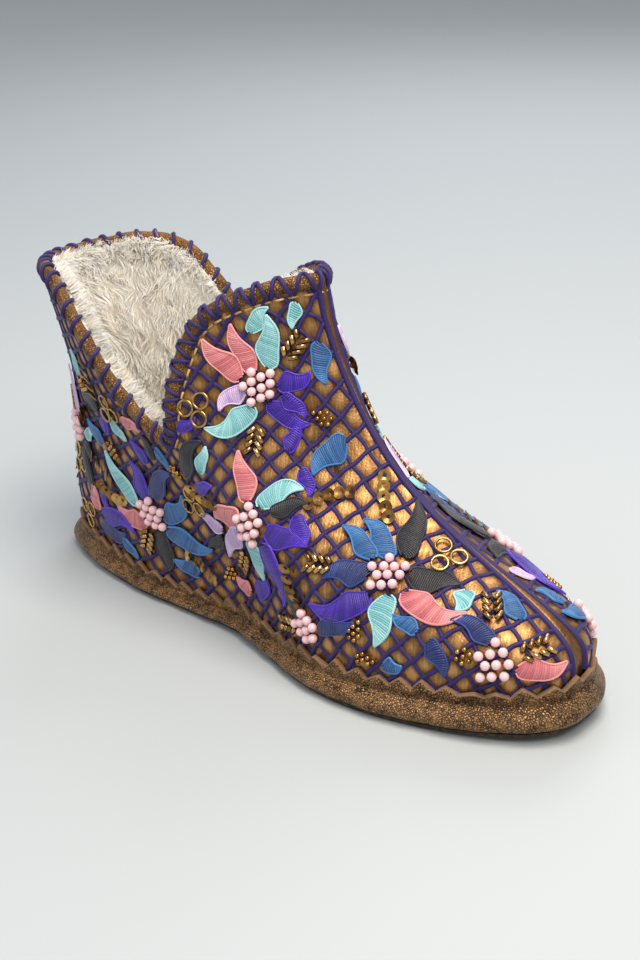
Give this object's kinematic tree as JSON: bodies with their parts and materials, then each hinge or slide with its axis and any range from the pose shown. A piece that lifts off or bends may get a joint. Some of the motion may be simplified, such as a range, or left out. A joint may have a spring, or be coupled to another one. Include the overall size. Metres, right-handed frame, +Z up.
{
  "type": "bootie slipper",
  "caption": "Ankle-high bootie slipper for a left foot: hollow upper with a notch in each side, rolled collar rim, pinked leather rand on a thin sole and a soft footbed.",
  "frame": {"origin": "on the floor, at the middle of the sole's length and width", "axes": "+X runs to the toe, +Y to the outer side of the left foot, +Z up"},
  "size_m": [0.257, 0.0942, 0.1385],
  "materials": {
    "sole_leather": "matt dark brown sole leather",
    "rand_leather": "crackled bronze metallic leather",
    "upper_leather": "bronze foil leather under a purple cord lattice with embroidery and beads",
    "rim_cord": "rolled bronze leather edge whipped with purple cord",
    "shearling": "cream shearling"
  },
  "bodies": {
    "root": {"outsole": "sole_leather", "rand": "rand_leather", "upper": "upper_leather", "collar_rim": "rim_cord", "footbed": "shearling"}
  },
  "joints": []
}
